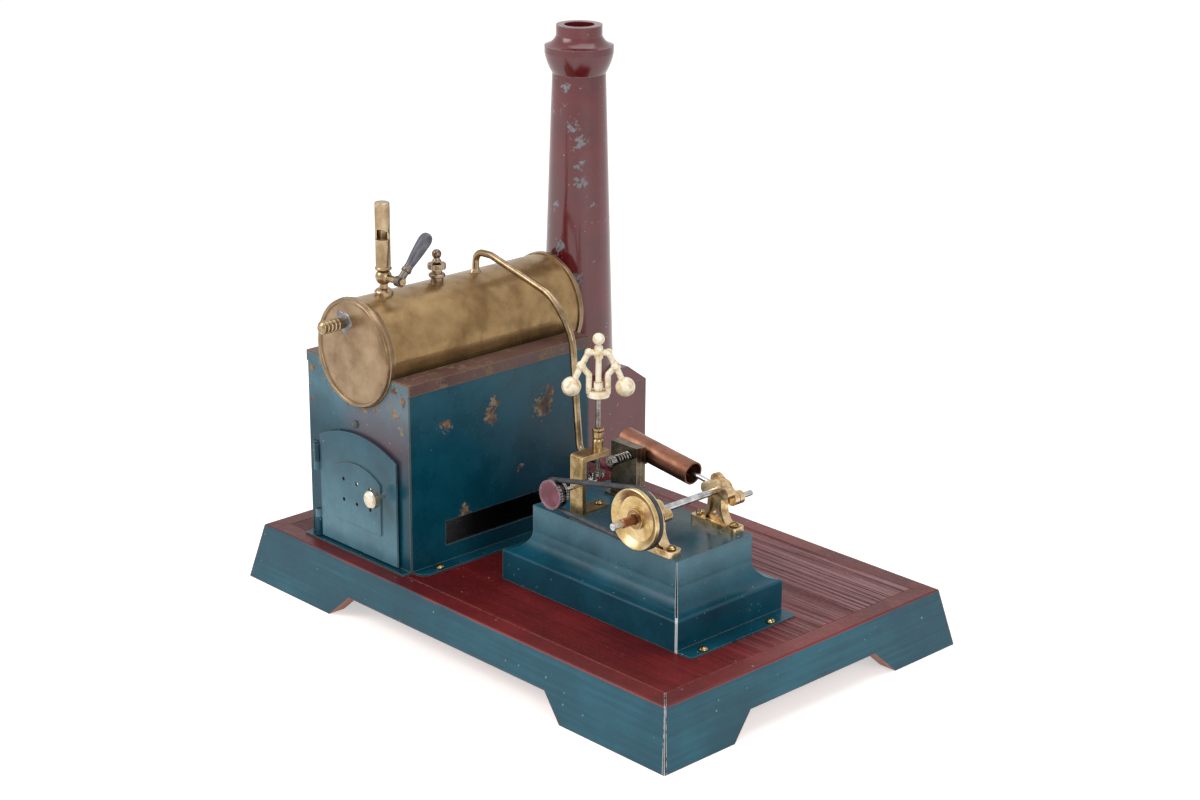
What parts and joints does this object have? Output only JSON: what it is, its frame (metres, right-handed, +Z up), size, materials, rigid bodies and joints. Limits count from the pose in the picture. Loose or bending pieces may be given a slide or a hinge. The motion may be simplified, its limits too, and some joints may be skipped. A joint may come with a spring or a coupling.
{
  "type": "toy stationary steam engine",
  "caption": "Toy live-steam plant: brass boiler in a tin firebox, chimney, and an oscillating engine with belt-driven governor on a splayed wooden base.",
  "frame": {"origin": "middle of the base's footprint, on the table", "axes": "+X along the base from boiler to engine, -Y the fire door's side, +Z up"},
  "size_m": [0.2712, 0.1802, 0.248],
  "materials": {
    "red_board": "painted and worn",
    "blue_wood": "painted",
    "blue_tin": "enamelled and chipped",
    "maroon_tin": "enamelled and chipped",
    "boiler_brass": "tarnished",
    "brass": "cast, worn bright",
    "dark_brass": "tarnished dark",
    "steel": "bare",
    "copper": "tarnished copper",
    "rubber": "matte",
    "maroon_wheel": "enamelled",
    "gilt": "gilded cream",
    "dark_wood": "stained dark",
    "red_fibre": "fibre"
  },
  "bodies": {
    "plant": {"base_board": "red_board", "skirt_front": "blue_wood", "skirt_right": "blue_wood", "skirt_back": "blue_wood", "skirt_left": "blue_wood", "firebox_front_wall": "blue_tin", "firebox_back_wall": "blue_tin", "firebox_right_wall": "blue_tin", "firebox_left_wall": "blue_tin", "door_hinge_straps": "blue_tin", "engine_bed": "blue_tin", "firebox_right_rail": "maroon_tin", "firebox_left_rail": "maroon_tin", "chimney_pedestal": "maroon_tin", "chimney_stack": "maroon_tin", "chimney_cap": "maroon_tin", "boiler_shell": "boiler_brass", "boiler_front_cap": "boiler_brass", "boiler_back_cap": "boiler_brass", "boiler_stud": "boiler_brass", "whistle": "brass", "safety_valve": "brass", "steam_pipe": "brass", "front_bearing": "brass", "back_bearing": "brass", "governor_yoke": "brass", "governor_bush": "brass", "port_plate": "dark_brass", "drive_belt": "rubber", "pipe_union": "red_fibre"},
    "door": {"firebox_door": "blue_tin", "door_hinge_pins": "steel", "door_knob": "brass"},
    "lever": {"whistle_lever": "brass", "whistle_handle": "dark_wood"},
    "crank": {"crankshaft": "steel", "crank": "brass", "drive_pulley": "brass", "shaft_sleeve": "copper"},
    "governor_drive": {"governor_pulley": "maroon_wheel", "governor_pulley_shaft": "steel"},
    "governor": {"governor_spindle": "steel", "governor_head": "gilt"},
    "cylinder": {"cylinder_tube": "copper", "cylinder_end": "steel", "port_block": "dark_brass", "pivot_stud": "steel", "pivot_spring": "steel", "pivot_nut": "steel"},
    "piston": {"piston": "steel", "big_end": "brass", "crank_pin": "steel"}
  },
  "joints": [
    {"name": "door_hinge", "type": "hinge", "parent": "plant", "child": "door", "pos_m": [-0.1006, -0.0749, 0.05], "axis": [0, 0, -1], "range_deg": [0, 110]},
    {"name": "whistle_cock", "type": "hinge", "parent": "plant", "child": "lever", "pos_m": [-0.062, -0.0568, 0.1512], "axis": [-1, 0, 0], "range_deg": [-40, 45]},
    {"name": "crank_spin", "type": "hinge", "parent": "plant", "child": "crank", "pos_m": [0.0726, 0, 0.0768], "axis": [0, 1, 0], "continuous": true},
    {"name": "governor_pulley_spin", "type": "hinge", "parent": "plant", "child": "governor_drive", "pos_m": [0.022, -0.0428, 0.0732], "axis": [0, 1, 0], "continuous": true},
    {"name": "governor_spin", "type": "hinge", "parent": "plant", "child": "governor", "pos_m": [0.022, -0.0178, 0.09], "axis": [0, 0, 1], "continuous": true},
    {"name": "cylinder_swing", "type": "hinge", "parent": "plant", "child": "cylinder", "pos_m": [0.0235, 0, 0.0801], "axis": [0, -1, 0], "range_deg": [-4.04, 10.67]},
    {"name": "piston_slide", "type": "slide", "parent": "cylinder", "child": "piston", "axis": [0.9922, 0, -0.1246], "range_m": [-0.01184, 0.00076]}
  ],
  "couplings": [
    {"joint": "governor_pulley_spin", "follows": "crank_spin", "ratio": 2.0826},
    {"joint": "governor_spin", "follows": "crank_spin", "ratio": 1.3884}
  ]
}
